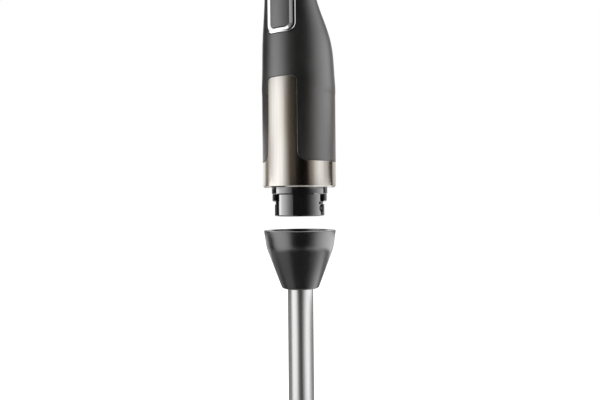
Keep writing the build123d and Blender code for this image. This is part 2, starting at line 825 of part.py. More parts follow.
with BuildPart() as cooling_fan:
    with BuildSketch(level(fan_bottom)):
        Circle(fan_radius)
        Circle(motor_shaft_radius, mode=Mode.SUBTRACT)
    extrude(amount=fan_disc)
    with BuildSketch(level(fan_bottom)):
        Circle(fan_hub_radius)
        with PolarLocations((fan_hub_radius + fan_radius) / 2, fan_blades):
            Rectangle(fan_radius - fan_hub_radius, fan_blade, rotation=fan_blade_turn)
        Circle(fan_radius, mode=Mode.INTERSECT)
        Circle(motor_shaft_radius, mode=Mode.SUBTRACT)
    extrude(amount=fan_height)

with BuildPart() as drive_socket:
    with BuildSketch(level(-socket_top - socket_length)):
        Circle(socket_radius)
    extrude(amount=socket_length)
    with BuildSketch(level(-shaft_end)):
        Circle(motor_shaft_radius)
    extrude(amount=shaft_end - socket_top, mode=Mode.SUBTRACT)
    with BuildSketch(level(-socket_top - socket_length)):
        spline_section(drive_slack)
    extrude(amount=socket_top + socket_length - shaft_end - socket_web, mode=Mode.SUBTRACT)
    with BuildSketch(level(-socket_top - socket_length)):
        Circle(drive_tip_radius + drive_slack + lead_in)
    extrude(amount=lead_in_length, mode=Mode.SUBTRACT)

# Collar: a cone with the coupling socket, two bayonet pegs and a tower for the bush
with BuildPart() as shaft_collar:
    with BuildSketch(Plane.XZ) as collar_view:
        with BuildLine():
            Polyline(
                (bush_radius + running, rim - socket_floor + tower_height),
                (tower_radius, rim - socket_floor + tower_height),
                (tower_radius, rim - socket_floor),
                (collar_bore, rim - socket_floor),
                (collar_bore, rim - lug_bore_depth),
                (lug_bore, rim - lug_bore_depth),
                (lug_bore, rim - mouth_depth),
                (mouth_radius, rim - mouth_depth),
                (mouth_radius, rim),
                (rim_radius, rim),
                (collar_shoulder_radius, rim - collar_shoulder),
                (collar_foot_radius, rim - collar_height),
                (tube_radius, rim - collar_height),
                (tube_radius, rim - tube_top),
                (bush_radius + running, rim - tube_top),
                close=True,
            )
        make_face()
        foot_corner = collar_view.vertices().group_by(Axis.Y)[0].sort_by(Axis.X)[-1]
        rim_corner = collar_view.vertices().group_by(Axis.Y)[-1].sort_by(Axis.X)[-1]
        fillet(foot_corner, collar_foot_round)
        fillet(rim_corner, rim_round)
    revolve(axis=Axis.Z)
    with BuildSketch(below_rim(slot_top + peg_height)):
        for entry in (peg_angle, peg_angle + half_turn):
            ring_sector(spigot_radius - peg_reach, lug_bore, entry - peg_arc / 2, peg_arc)
    extrude(amount=peg_height)

with BuildPart(below_rim(socket_floor - tower_height + bush_length)) as upper_bush:
    Cylinder(bush_radius, bush_length, align=floor_up)
    Hole(rod_radius + running)

with BuildPart() as steel_tube:
    with BuildSketch(below_rim(tube_bottom)):
        Circle(tube_radius)
        Circle(tube_radius - tube_wall, mode=Mode.SUBTRACT)
    extrude(amount=tube_bottom - tube_top)

# Bell-shaped guard with flow windows round its rim
neck_radius = tube_radius + guard_wall
waist_radius = neck_radius + guard_turn * (guard_rim_radius - neck_radius)
waist_depth = tube_bottom + guard_turn * (guard_shoulder - tube_bottom)
with BuildPart() as blade_guard:
    with BuildSketch(Plane.XZ):
        with BuildLine() as wall:
            Line((neck_radius, rim - tube_bottom + guard_neck), (neck_radius, rim - tube_bottom))
            TangentArc((neck_radius, rim - tube_bottom), (waist_radius, rim - waist_depth), tangent=(0, -1))
            TangentArc(
                (guard_rim_radius, rim - guard_shoulder), (waist_radius, rim - waist_depth), tangent=(0, 1)
            )
            Line((guard_rim_radius, rim - guard_shoulder), (guard_rim_radius, rim - shaft_length))
            offset(amount=guard_wall, side=Side.RIGHT)
        make_face()
    revolve(axis=Axis.Z)
    with BuildSketch(below_rim(shaft_length)):
        Circle(guard_rim_radius - guard_land_wall)
    extrude(amount=guard_land, mode=Mode.SUBTRACT)
    with BuildSketch(below_rim(tube_bottom + guard_web)):
        Circle(neck_radius)
        Circle(lower_bush_radius, mode=Mode.SUBTRACT)
    extrude(amount=guard_web)
    for side_plane in (Plane.XZ, Plane.YZ):
        with BuildSketch(side_plane):
            with Locations((0, rim - window_depth)):
                SlotOverall(window_width, window_height)
        extrude(amount=2 * guard_rim_radius, both=True, mode=Mode.SUBTRACT)

with BuildPart(below_rim(tube_bottom + guard_web)) as lower_bush:
    Cylinder(lower_bush_radius, lower_bush_length, align=floor_up)
    Hole(rod_radius + running)

with BuildPart(below_rim(tube_bottom + guard_web + seal_length)) as shaft_seal:
    Cylinder(lower_bush_radius, seal_length, align=floor_up)
    Hole(rod_radius + running)

# Drive line through the shaft
dog_flange = socket_floor - tower_height - slack
with BuildPart() as drive_dog:
    with BuildSketch(below_rim(dog_flange)):
        Circle(drive_tip_radius)
    extrude(amount=dog_flange_height)
    with BuildSketch(below_rim(dog_flange)):
        spline_section(0)
    extrude(amount=dog_flange - shaft_end - socket_web - dog_slack)
    with BuildSketch(below_rim(dog_flange)):
        Circle(rod_radius)
    extrude(amount=dog_flange - rod_top, mode=Mode.SUBTRACT)

with BuildPart() as drive_rod:
    with BuildSketch(below_rim(rod_bottom)):
        Circle(rod_radius)
    extrude(amount=rod_bottom - rod_top)

clip_depth = socket_floor - tower_height + bush_length + slack + clip_thickness
with BuildPart(below_rim(clip_depth)) as retaining_ring:
    Cylinder(clip_radius, clip_thickness, align=floor_up)
    Hole(rod_radius)

# Two-winged blade, one wing swept up and the other down
with BuildPart() as blade_wing:
    with BuildSketch(Plane.XY.rotated((blade_pitch, -blade_sweep, 0))):
        with BuildLine():
            ThreePointArc((0, -blade_root), (blade_radius / 2, -blade_belly), (blade_radius, -blade_tip))
            ThreePointArc((blade_radius, -blade_tip), (blade_radius / 2, blade_back), (0, blade_root))
            Line((0, blade_root), (0, -blade_root))
        make_face()
    extrude(amount=blade_thickness)

with BuildPart(below_rim(blade_depth + blade_hub)) as blade:
    Cylinder(blade_hub_radius, blade_hub, align=floor_up)
    with Locations((0, 0, blade_hub / 2)):
        with PolarLocations(0, 2):
            add(blade_wing.part)
    Hole(rod_radius)

with BuildPart() as blade_nut:
    with BuildSketch(below_rim(blade_depth + blade_hub)):
        RegularPolygon(nut_width / 2, 6, major_radius=False)
    extrude(amount=-nut_height)
    with BuildSketch(below_rim(blade_depth + blade_hub)):
        Circle(rod_radius)
    extrude(amount=-(nut_height - nut_roof), mode=Mode.SUBTRACT)

pieces = {
    "main_housing": main_housing,
    "metal_sleeve": metal_sleeve,
    "button_bezel": button_bezel,
    "turbo_button": turbo_button,
    "power_button": power_button,
    "turbo_button_spring": turbo_button_spring,
    "power_button_spring": power_button_spring,
    "control_board": control_board,
    "micro_switches": micro_switches,
    "top_cap": top_cap,
    "speed_dial": speed_dial,
    "speed_control": speed_control,
    "cord_gland": cord_gland,
    "coupling_base": coupling_base,
    "base_screws": base_screws,
    "lower_bracket": lower_bracket,
    "upper_bracket": upper_bracket,
    "lower_mount": lower_mount,
    "upper_mount": upper_mount,
    "lower_bearing": lower_bearing,
    "upper_bearing": upper_bearing,
    "stator_core": stator_core,
    "field_coils": field_coils,
    "brush_holders": brush_holders,
    "carbon_brushes": carbon_brushes,
    "brush_springs": brush_springs,
    "motor_shaft": motor_shaft,
    "armature_core": armature_core,
    "armature_windings": armature_windings,
    "commutator": commutator,
    "cooling_fan": cooling_fan,
    "drive_socket": drive_socket,
    "shaft_collar": shaft_collar,
    "upper_bush": upper_bush,
    "steel_tube": steel_tube,
    "blade_guard": blade_guard,
    "lower_bush": lower_bush,
    "shaft_seal": shaft_seal,
    "drive_dog": drive_dog,
    "drive_rod": drive_rod,
    "retaining_ring": retaining_ring,
    "blade": blade,
    "blade_nut": blade_nut,
}

os.makedirs("parts", exist_ok=True)
for name, piece in pieces.items():
    piece.part.label = name
    export_step(piece.part, f"parts/{name}.step")
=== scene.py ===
"""Looks, light and camera for the immersion blender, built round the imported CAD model."""

import json
import math

import bpy
from mathutils import Matrix, Vector


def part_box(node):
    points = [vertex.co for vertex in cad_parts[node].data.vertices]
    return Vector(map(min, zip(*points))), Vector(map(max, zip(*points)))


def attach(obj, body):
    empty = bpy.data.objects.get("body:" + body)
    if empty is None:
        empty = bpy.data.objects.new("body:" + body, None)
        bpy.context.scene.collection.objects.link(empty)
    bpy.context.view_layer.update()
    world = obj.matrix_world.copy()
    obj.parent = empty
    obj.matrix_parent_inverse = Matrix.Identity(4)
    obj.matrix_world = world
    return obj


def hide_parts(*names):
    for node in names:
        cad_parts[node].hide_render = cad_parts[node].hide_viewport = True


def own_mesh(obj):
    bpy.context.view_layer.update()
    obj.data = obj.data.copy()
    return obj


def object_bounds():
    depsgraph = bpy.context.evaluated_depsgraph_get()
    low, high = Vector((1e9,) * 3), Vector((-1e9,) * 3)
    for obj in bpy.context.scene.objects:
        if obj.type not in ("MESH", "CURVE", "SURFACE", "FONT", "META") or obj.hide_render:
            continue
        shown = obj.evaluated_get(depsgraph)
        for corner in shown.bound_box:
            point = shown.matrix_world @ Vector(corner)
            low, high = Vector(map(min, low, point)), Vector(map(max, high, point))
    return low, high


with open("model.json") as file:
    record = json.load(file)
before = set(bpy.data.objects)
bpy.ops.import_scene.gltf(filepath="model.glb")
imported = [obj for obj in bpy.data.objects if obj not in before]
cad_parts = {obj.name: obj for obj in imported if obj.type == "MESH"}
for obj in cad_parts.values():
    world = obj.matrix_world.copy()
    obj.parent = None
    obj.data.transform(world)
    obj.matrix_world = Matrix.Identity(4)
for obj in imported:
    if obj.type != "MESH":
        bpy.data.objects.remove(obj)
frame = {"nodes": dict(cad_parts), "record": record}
nodes = frame["nodes"]
cad_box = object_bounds()
scene = bpy.context.scene
scene.view_settings.view_transform = "Standard"

# Camera: level, to the right of the front, close enough to give the photograph's perspective
camera_azimuth = 29.2
camera_distance = 0.518
camera_height = -0.1958
camera_side = 0.0003
camera_roll = -0.55
lens = 36.0
sensor = 36.0


def heading(angle):
    """Level direction from the axis, in degrees to the right of the camera."""
    turn = math.radians(camera_azimuth + angle)
    return Vector((math.sin(turn), -math.cos(turn), 0))


def turned(angle, axis):
    """Rotation by an angle in degrees."""
    return Matrix.Rotation(math.radians(angle), 4, axis)


camera_data = bpy.data.cameras.new("camera")
camera_data.lens = lens
camera_data.sensor_width = sensor
camera = bpy.data.objects.new("camera", camera_data)
scene.collection.objects.link(camera)
eye = heading(0) * camera_distance + heading(90) * camera_side + Vector((0, 0, camera_height))
level_view = turned(camera_azimuth, "Z") @ turned(90, "X")
camera.matrix_world = Matrix.Translation(eye) @ level_view @ turned(camera_roll, "Z")
scene.camera = camera

# Materials: the settings that all plastics or all metals share
drift_scale = 55  # slow change over a plastic
drift_detail = 3
grain_detail = 2
grain_strength = 0.35
line_scale = 1.0  # hairlines of a metal, which get their size from the stretch
line_detail = 4
line_strength = 0.2
plastic_wander = 0.03  # how far the roughness goes up and down
metal_wander = 0.04
wander_range = (0.25, 0.75)  # the part of a noise pattern that is used for roughness
tint_range = (0.3, 0.7)  # and for colour


def material(name, **settings):
    """New principled material with plain socket values."""
    made = bpy.data.materials.new(name)
    made.use_nodes = True
    shader = made.node_tree.nodes["Principled BSDF"]
    for socket, value in settings.items():
        shader.inputs[socket.replace("_", " ")].default_value = value
    return made, made.node_tree, shader


def noise(tree, scale, detail, stretch=(1, 1, 1)):
    """Noise in object space, stretched along the axes."""
    place = tree.nodes.new("ShaderNodeTexCoord")
    shape = tree.nodes.new("ShaderNodeMapping")
    shape.inputs["Scale"].default_value = stretch
    tree.links.new(place.outputs["Object"], shape.inputs["Vector"])
    pattern = tree.nodes.new("ShaderNodeTexNoise")
    pattern.inputs["Scale"].default_value = scale
    pattern.inputs["Detail"].default_value = detail
    tree.links.new(shape.outputs["Vector"], pattern.inputs["Vector"])
    return pattern.outputs["Fac"]


def mapped(tree, source, low, high, source_range=(0.0, 1.0)):
    """Maps a range of the source on to the range from low to high."""
    change = tree.nodes.new("ShaderNodeMapRange")
    change.inputs["From Min"].default_value = source_range[0]
    change.inputs["From Max"].default_value = source_range[1]
    change.inputs["To Min"].default_value = low
    change.inputs["To Max"].default_value = high
    tree.links.new(source, change.inputs["Value"])
    return change.outputs["Result"]


def tint(tree, source, dark, light, source_range=(0.0, 1.0)):
    """Mixes two colours by a pattern."""
    ramp = tree.nodes.new("ShaderNodeValToRGB")
    for stop, position, colour in zip(ramp.color_ramp.elements, source_range, (dark, light)):
        stop.position = position
        stop.color = (*colour, 1)
    tree.links.new(source, ramp.inputs["Fac"])
    return ramp.outputs["Color"]


def bump(tree, shader, source, strength, depth):
    """Surface relief from a pattern, depth in metres."""
    relief = tree.nodes.new("ShaderNodeBump")
    relief.inputs["Strength"].default_value = strength
    relief.inputs["Distance"].default_value = depth
    tree.links.new(source, relief.inputs["Height"])
    tree.links.new(relief.outputs["Normal"], shader.inputs["Normal"])


def plastic(name, dark, light, roughness, grain, depth, index):
    """Moulded plastic: fine grain in the relief, slow drift in colour and roughness."""
    made, tree, shader = material(name, IOR=index)
    drift = noise(tree, drift_scale, drift_detail)
    rough = mapped(tree, drift, roughness - plastic_wander, roughness + plastic_wander, wander_range)
    tree.links.new(tint(tree, drift, dark, light, tint_range), shader.inputs["Base Color"])
    tree.links.new(rough, shader.inputs["Roughness"])
    bump(tree, shader, noise(tree, grain, grain_detail), grain_strength, depth)
    return made


def brushed(name, dark, light, roughness, stretch, depth):
    """Finished metal: hairlines, or grain where the stretch is even, vary colour, roughness and relief."""
    made, tree, shader = material(name, Metallic=1.0)
    lines = noise(tree, line_scale, line_detail, stretch)
    rough = mapped(tree, lines, roughness - metal_wander, roughness + metal_wander, wander_range)
    tree.links.new(tint(tree, lines, dark, light, tint_range), shader.inputs["Base Color"])
    tree.links.new(rough, shader.inputs["Roughness"])
    bump(tree, shader, lines, line_strength, depth)
    return made


plastics = {  # dark and light colour, roughness, scale and depth (m) of the grain, index of refraction
    "soft_touch": ((0.003, 0.003, 0.0032), (0.0045, 0.0045, 0.0047), 0.35, 2600, 0.00006, 2.1),
    "button_grey": ((0.03, 0.03, 0.031), (0.038, 0.038, 0.039), 0.38, 3200, 0.00005, 2.05),
    "gloss_black": ((0.004, 0.004, 0.0043), (0.006, 0.006, 0.0063), 0.05, 1500, 0.000003, 2.2),
    "satin_black": ((0.004, 0.004, 0.0043), (0.006, 0.006, 0.0063), 0.25, 2400, 0.00002, 2.1),
    "carbon": ((0.014, 0.014, 0.014), (0.03, 0.03, 0.03), 0.6, 2500, 0.00006, 1.5),
    "rubber": ((0.012, 0.012, 0.012), (0.018, 0.018, 0.018), 0.6, 2200, 0.00006, 1.5),
    "board_green": ((0.012, 0.13, 0.05), (0.018, 0.17, 0.07), 0.3, 900, 0.00002, 1.5),
    "bracket_white": ((0.66, 0.65, 0.6), (0.72, 0.71, 0.67), 0.45, 2000, 0.00004, 1.5),
}
along_axis = (2600, 2600, 22)
metals = {  # dark and light colour, roughness, stretch of the hairlines along the axes, their depth (m)
    "bronze": ((0.40, 0.382, 0.352), (0.47, 0.45, 0.416), 0.14, along_axis, 0.00001),
    "chrome": ((0.86, 0.86, 0.87), (0.9, 0.9, 0.91), 0.07, (900, 900, 900), 0.000002),
    "stainless": ((0.44, 0.44, 0.435), (0.52, 0.52, 0.51), 0.2, along_axis, 0.00001),
    "steel": ((0.52, 0.52, 0.53), (0.6, 0.6, 0.61), 0.3, (1800, 1800, 1800), 0.00001),
    "laminations": ((0.14, 0.14, 0.15), (0.24, 0.24, 0.25), 0.45, (60, 60, 4000), 0.00004),
    "copper": ((0.50, 0.20, 0.08), (0.66, 0.30, 0.13), 0.3, (300, 300, 5000), 0.00008),
    "brass": ((0.62, 0.46, 0.18), (0.72, 0.55, 0.24), 0.32, (1500, 1500, 1500), 0.00002),
}
looks = {name: plastic(name, *values) for name, values in plastics.items()}
looks.update({name: brushed(name, *values) for name, values in metals.items()})
for subpart in frame["record"]["subparts"]:
    piece = nodes[subpart["node"]]
    piece.data.materials.clear()
    piece.data.materials.append(looks[subpart["material_slot"]])

# Shapes: sizes and places are in millimetres, as in the part's source, and the meshes in metres
mm = 0.001


def skin(name, loops, joined=False):
    """New piece through loops of points, its last loop joined to its first or both ends closed."""
    rows = len(loops)
    count = len(loops[0])
    points = [point for loop in loops for point in loop]
    faces = []
    if not joined:
        faces.append(tuple(range(count)))
        faces.append(tuple(reversed(range(len(points) - count, len(points)))))
    for row in range(rows if joined else rows - 1):
        near = row * count
        far = (row + 1) % rows * count
        for j in range(count):
            k = (j + 1) % count
            faces.append((near + k, near + j, far + j, far + k))
    shape = bpy.data.meshes.new(name)
    shape.from_pydata(points, [], faces)
    made = bpy.data.objects.new(name, shape)
    scene.collection.objects.link(made)
    return made


def circle(radius, height, steps):
    """Points round the vertical axis."""
    turns = [2 * math.pi * step / steps for step in range(steps)]
    return [Vector((radius * math.cos(turn), radius * math.sin(turn), height)) for turn in turns]


def sharpen(made, angle):
    """Keeps creases above an angle hard on a smooth mesh."""
    made.data.shade_smooth()
    made.data.set_sharp_from_angle(angle=math.radians(angle))


# Chrome bezel with the crowned section that the photograph shows, in place of its plain solid
face_radius = 28.5  # round front of the grip
face_centre = -3.0
bezel_low = -58.6
bezel_high = 15.2
bezel_half_width = 13.8
bezel_corner = 7.2
opening_low = -54.9
opening_high = 11.6
opening_half_width = 9.1
opening_corner = 4.6
corner_steps = 10
limb_steps = 14
even_weight = 90  # pull of the large faces on the shading
bezel_section = [  # share of the limb's width from the opening outward, and height over the grip's face
    (0.26, -0.9), (0.26, 0.42), (0.02, 0.42), (0.0, 0.47), (0.015, 0.56), (0.55, 0.91), (0.59, 0.93),
    (0.64, 0.94), (0.85, 0.94), (0.9, 0.9), (0.94, 0.8), (0.96, 0.62), (0.965, 0.3), (0.965, -0.9)]


def rounded_frame(half_width, low, high, corner):
    """Points round a rectangle with rounded corners, in front view."""
    points = []
    for side, level, start in ((1, low, 270), (1, high, 0), (-1, high, 90), (-1, low, 180)):
        middle = (side * (half_width - corner), level + (corner if level == low else -corner))
        for step in range(corner_steps + 1):
            turn = math.radians(start + 90 * step / corner_steps)
            points.append((middle[0] + corner * math.cos(turn), middle[1] + corner * math.sin(turn)))
        if start in (0, 180):
            near = middle[0]
            far = -near
            points += [(near + (far - near) * step / limb_steps, level) for step in range(1, limb_steps)]
    return points


def on_face(across, up, rise):
    """Point over the grip's round front."""
    return Vector((across, face_centre - math.sqrt((face_radius + rise) ** 2 - across ** 2), up)) * mm


inner_frame = rounded_frame(opening_half_width, opening_low, opening_high, opening_corner)
outer_frame = rounded_frame(bezel_half_width, bezel_low, bezel_high, bezel_corner)
bezel_loops = []
for share, rise in reversed(bezel_section):
    loop = []
    for (x0, z0), (x1, z1) in zip(inner_frame, outer_frame):
        loop.append(on_face(x0 + (x1 - x0) * share, z0 + (z1 - z0) * share, rise))
    bezel_loops.append(loop)
bezel = skin("bezel_frame", bezel_loops, joined=True)
bezel.data.shade_smooth()
bezel.data.materials.append(looks["chrome"])
bezel.modifiers.new("even_faces", "WEIGHTED_NORMAL").weight = even_weight
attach(bezel, "motor_unit")
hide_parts("button_bezel")

# Collar with the softly rounded shoulder and rim that the photograph shows, in place of its plain solid
bush_bore = 7.53
tower_radius = 9.8
tower_top = -242.5
socket_floor = -247.0
collar_bore = 22.05
lug_bore = 23.75
lug_bore_floor = -233.9
mouth_radius = 24.25
mouth_floor = -228.0
collar_rim = -221.7
rim_radius = 31.1
shoulder_radius = 29.0
shoulder_level = -236.7
foot_radius = 15.8
foot_level = -271.5
tube_radius = 11.1
tube_top = -254.7
collar_rounds = [(0.35, 4), (0.5, 5), (3.4, 10), (1.5, 6)]  # size and steps, from the mouth to the foot
collar_steps = 120
collar_crease = 30
peg_angles = (39.0, 219.0)
peg_arc = 10.0
peg_inside = 19.9
peg_outside = 22.4
peg_low = -235.6
peg_high = -234.0
peg_steps = 6
peg_edge = 0.2


def rounded(before, corner, after, size, steps):
    """Points of a soft corner that starts and ends at the given distance from it."""
    middle = Vector(corner)
    start = middle + (Vector(before) - middle).normalized() * size
    end = middle + (Vector(after) - middle).normalized() * size
    shares = [step / steps for step in range(steps + 1)]
    return [tuple(start * (1 - t) ** 2 + middle * 2 * t * (1 - t) + end * t ** 2) for t in shares]


collar_section = [
    (bush_bore, tower_top), (tower_radius, tower_top), (tower_radius, socket_floor),
    (collar_bore, socket_floor), (collar_bore, lug_bore_floor), (lug_bore, lug_bore_floor),
    (lug_bore, mouth_floor)]
collar_outside = [
    (mouth_radius, mouth_floor), (mouth_radius, collar_rim), (rim_radius, collar_rim),
    (shoulder_radius, shoulder_level), (foot_radius, foot_level), (tube_radius, foot_level)]
collar_section.append(collar_outside[0])
for place, (size, steps) in enumerate(collar_rounds):
    collar_section += rounded(*collar_outside[place:place + 3], size, steps)
collar_section += [collar_outside[-1], (tube_radius, tube_top), (bush_bore, tube_top)]
collar_loops = []
for radius, height in reversed(collar_section):
    collar_loops.append([point * mm for point in circle(radius, height, collar_steps)])
collar = skin("collar_form", collar_loops, joined=True)
sharpen(collar, collar_crease)
collar.data.materials.append(looks["satin_black"])
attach(collar, "blending_shaft")
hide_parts("shaft_collar")

peg_section = [(peg_inside, peg_low), (peg_outside, peg_low), (peg_outside, peg_high), (peg_inside, peg_high)]
for place, middle in enumerate(peg_angles):
    peg_loops = []
    for step in range(peg_steps + 1):
        turn = math.radians(middle - peg_arc / 2 + peg_arc * step / peg_steps)
        way = Vector((math.cos(turn), math.sin(turn), 0))
        peg_loops.append([(way * radius + Vector((0, 0, height))) * mm for radius, height in peg_section])
    peg = skin(f"collar_peg_{place + 1}", peg_loops)
    peg.data.materials.append(looks["satin_black"])
    peg.modifiers.new("soft_edges", "BEVEL").width = peg_edge * mm
    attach(peg, "blending_shaft")

# Return springs as real coils
spring_wire = 0.5
spring_turns = 7
dead_turns = 1  # closed turns at each end
turn_steps = 24
wire_steps = 8
spring_crease = 60


def coil_loops(low, high):
    """Rings of points along a wire that is wound about the spring's axis, from its fixed end."""
    middle = (low + high) / 2
    length = high.y - low.y - spring_wire * mm
    coil_radius = (high.x - low.x - spring_wire * mm) / 2
    closed = dead_turns * spring_wire * mm
    loops = []
    for step in range((spring_turns + 2 * dead_turns) * turn_steps + 1):
        turns = step / turn_steps
        live = min(max(turns - dead_turns, 0), spring_turns) / spring_turns
        ends = (turns - live * spring_turns) / (2 * dead_turns)
        along = high.y - spring_wire * mm / 2 - 2 * closed * ends - (length - 2 * closed) * live
        angle = 2 * math.pi * turns
        out = Vector((math.cos(angle), 0, math.sin(angle)))
        heart = Vector((middle.x, along, middle.z)) + out * coil_radius
        ring = []
        for part in range(wire_steps):
            around = 2 * math.pi * part / wire_steps
            aside = out * math.cos(around) + Vector((0, math.sin(around), 0))
            ring.append(heart + aside * spring_wire * mm / 2)
        loops.append(ring)
    return loops


for button in ("turbo", "power"):
    node = f"{button}_button_spring"
    low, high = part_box(node)
    spring = skin(f"{button}_return_coil", coil_loops(low, high))
    sharpen(spring, spring_crease)
    spring.data.materials.append(looks["steel"])
    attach(spring, "motor_unit")
    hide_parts(node)
    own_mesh(spring)

# Plain numbers printed on the dial
dial_middle = Vector((0, -13.7, 0))
dial_top = 52.1
number_circle = 7.7
number_size = 3.6
number_count = 7
number_pitch = 45
number_smoothness = 4
ink = 0.03
for place in range(number_count):
    letters = bpy.data.curves.new("number", "FONT")
    letters.body = str(place + 1)
    letters.size = number_size * mm
    letters.extrude = ink * mm
    letters.align_x = "CENTER"
    letters.align_y = "CENTER"
    letters.resolution_u = number_smoothness
    way = turned((place - number_count // 2) * number_pitch, "Z")
    spot = (dial_middle + way @ Vector((0, -number_circle, 0)) + Vector((0, 0, dial_top))) * mm
    draft = bpy.data.objects.new("number_draft", letters)
    shape = bpy.data.meshes.new_from_object(draft)
    shape.name = f"dial_number_{place + 1}"
    shape.transform(Matrix.Translation(spot) @ way)
    shape.materials.clear()
    shape.materials.append(looks["bracket_white"])
    number = bpy.data.objects.new(shape.name, shape)
    scene.collection.objects.link(number)
    bpy.data.objects.remove(draft)
    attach(number, "speed_dial")

# Moulded pip on the cap, which the numbers are read against
pip_place = Vector((0, -27.4, 44.9))
pip_tilt = 25  # the cap slopes there
pip_radius = 1.1
pip_height = 0.35
pip_steps = 24
pip_shares = (0.3, 0.6, 0.85, 0.97, 1.0)  # of the radius, from the top down
pip_loops = []
for share in pip_shares:
    pip_loops.append(circle(pip_radius * share, pip_height * math.sqrt(1 - share ** 2), pip_steps))
pip = skin("cap_pip", pip_loops)
pip.data.transform(Matrix.Scale(mm, 4) @ Matrix.Translation(pip_place) @ turned(pip_tilt, "X"))
pip.data.shade_smooth()
pip.data.materials.append(looks["bracket_white"])
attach(pip, "motor_unit")

# Studio: rings of cards, bright and dark by turns, which reflections see and matt surfaces see as even
studio_radius = 1.0
studio_top = 1.2
flag_radius = 0.13
flag_low = -0.281
flag_high = -0.238
even_level = 1.15  # what matt surfaces see of every card
bright_card = (1.0, 1.0, 1.01)


def card_look(name, dim, even):
    """Emission painted on the cards, its colour dim where the glow is low and white from even upward."""
    made = bpy.data.materials.new(name)
    made.use_nodes = True
    made.cycles.emission_sampling = "NONE"
    tree = made.node_tree
    tree.nodes.clear()
    glow = tree.nodes.new("ShaderNodeEmission")
    painted = tree.nodes.new("ShaderNodeAttribute")
    painted.attribute_name = "glow"
    path = tree.nodes.new("ShaderNodeLightPath")
    level = tree.nodes.new("ShaderNodeMix")
    level.inputs["A"].default_value = even_level
    tree.links.new(path.outputs["Is Glossy Ray"], level.inputs["Factor"])
    tree.links.new(painted.outputs["Fac"], level.inputs["B"])
    tree.links.new(level.outputs["Result"], glow.inputs["Strength"])
    share = mapped(tree, painted.outputs["Fac"], 0.0, 1.0, (0.0, even))
    tree.links.new(tint(tree, share, dim, bright_card), glow.inputs["Color"])
    end = tree.nodes.new("ShaderNodeOutputMaterial")
    tree.links.new(glow.outputs["Emission"], end.inputs["Surface"])
    return made


def tier(name, look, low, high, stops, radius=studio_radius):
    """Upright ring of cards. Its stops are headings in degrees, each with a glow."""
    points = []
    glows = []
    for angle, glow in stops:
        way = heading(angle) * radius
        points += [(way.x, way.y, low), (way.x, way.y, high)]
        glows += [glow, glow]
    faces = [(2 * i, 2 * i + 2, 2 * i + 3, 2 * i + 1) for i in range(len(stops) - 1)]
    shape = bpy.data.meshes.new(name)
    shape.from_pydata(points, [], faces)
    layer = shape.attributes.new("glow", "FLOAT", "POINT")
    layer.data.foreach_set("value", glows)
    shape.materials.append(look)
    made = bpy.data.objects.new(name, shape)
    scene.collection.objects.link(made)
    made.visible_camera = False
    made.visible_shadow = False


